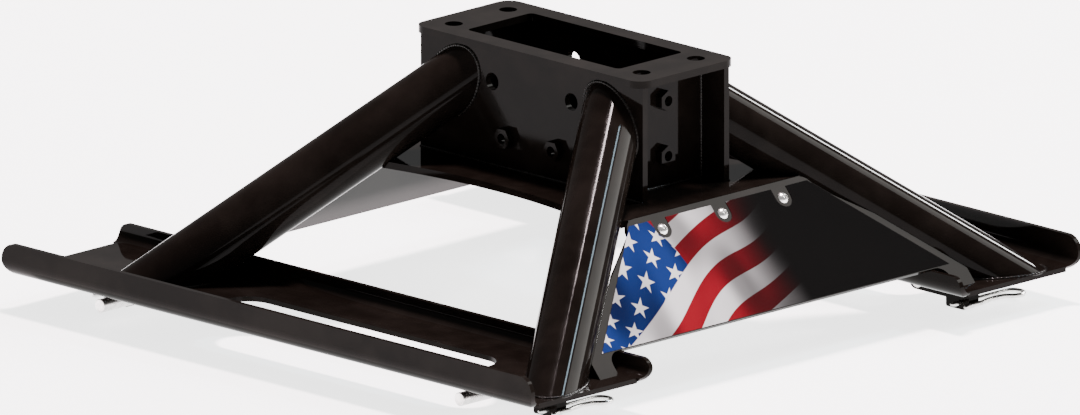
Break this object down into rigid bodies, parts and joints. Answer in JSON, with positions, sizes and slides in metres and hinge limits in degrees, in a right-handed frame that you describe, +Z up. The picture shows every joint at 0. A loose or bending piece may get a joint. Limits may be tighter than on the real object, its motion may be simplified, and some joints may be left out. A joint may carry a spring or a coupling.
{
  "type": "fifth wheel hitch",
  "caption": "Base frame of a fifth wheel hitch: splayed tube legs hold an open-topped head box over flanged feet, with a deck, side panels, rail tabs, pull-out lock pins and hairpin clips.",
  "frame": {"origin": "on the floor under the middle of the footprint, with the part standing on its rail tabs", "axes": "+X along the feet, +Y across them towards the rear foot, +Z up"},
  "size_m": [0.687, 0.714, 0.259],
  "materials": {
    "frame_paint": "gloss black paint",
    "decal_print": null,
    "screw_zinc": "bright zinc plate",
    "pin_zinc": "bright zinc plate, turned ends",
    "clip_wire": "bright zinc plated spring wire"
  },
  "bodies": {
    "base": {"front_foot": "frame_paint", "rear_foot": "frame_paint", "front_left_leg": "frame_paint", "front_right_leg": "frame_paint", "rear_left_leg": "frame_paint", "rear_right_leg": "frame_paint", "top_plate": "frame_paint", "front_plate": "frame_paint", "rear_plate": "frame_paint", "left_end_plate": "frame_paint", "right_end_plate": "frame_paint", "front_weld_nuts": "frame_paint", "rear_weld_nuts": "frame_paint", "left_end_weld_nuts": "frame_paint", "right_end_weld_nuts": "frame_paint", "deck_plate": "frame_paint", "left_side_panel": "frame_paint", "right_side_panel": "frame_paint", "left_decal": "decal_print", "right_decal": "decal_print", "left_panel_screws": "screw_zinc", "right_panel_screws": "screw_zinc", "left_panel_nuts": "screw_zinc", "right_panel_nuts": "screw_zinc", "front_left_rail_tab": "frame_paint", "front_right_rail_tab": "frame_paint", "rear_left_rail_tab": "frame_paint", "rear_right_rail_tab": "frame_paint"},
    "front_left_pin": {"front_left_lock_pin": "pin_zinc"},
    "front_left_clip": {"front_left_hairpin": "clip_wire"},
    "front_right_pin": {"front_right_lock_pin": "pin_zinc"},
    "front_right_clip": {"front_right_hairpin": "clip_wire"},
    "rear_left_pin": {"rear_left_lock_pin": "pin_zinc"},
    "rear_left_clip": {"rear_left_hairpin": "clip_wire"},
    "rear_right_pin": {"rear_right_lock_pin": "pin_zinc"},
    "rear_right_clip": {"rear_right_hairpin": "clip_wire"}
  },
  "joints": [
    {"name": "front_left_pin_slide", "type": "slide", "parent": "base", "child": "front_left_pin", "axis": [0, -1, 0], "range_m": [0, 0.09]},
    {"name": "front_left_clip_slide", "type": "slide", "parent": "base", "child": "front_left_clip", "axis": [0, 1, 0], "range_m": [0, 0.03]},
    {"name": "front_right_pin_slide", "type": "slide", "parent": "base", "child": "front_right_pin", "axis": [0, -1, 0], "range_m": [0, 0.09]},
    {"name": "front_right_clip_slide", "type": "slide", "parent": "base", "child": "front_right_clip", "axis": [0, 1, 0], "range_m": [0, 0.03]},
    {"name": "rear_left_pin_slide", "type": "slide", "parent": "base", "child": "rear_left_pin", "axis": [0, 1, 0], "range_m": [0, 0.09]},
    {"name": "rear_left_clip_slide", "type": "slide", "parent": "base", "child": "rear_left_clip", "axis": [0, 1, 0], "range_m": [0, 0.03]},
    {"name": "rear_right_pin_slide", "type": "slide", "parent": "base", "child": "rear_right_pin", "axis": [0, 1, 0], "range_m": [0, 0.09]},
    {"name": "rear_right_clip_slide", "type": "slide", "parent": "base", "child": "rear_right_clip", "axis": [0, 1, 0], "range_m": [0, 0.03]}
  ]
}
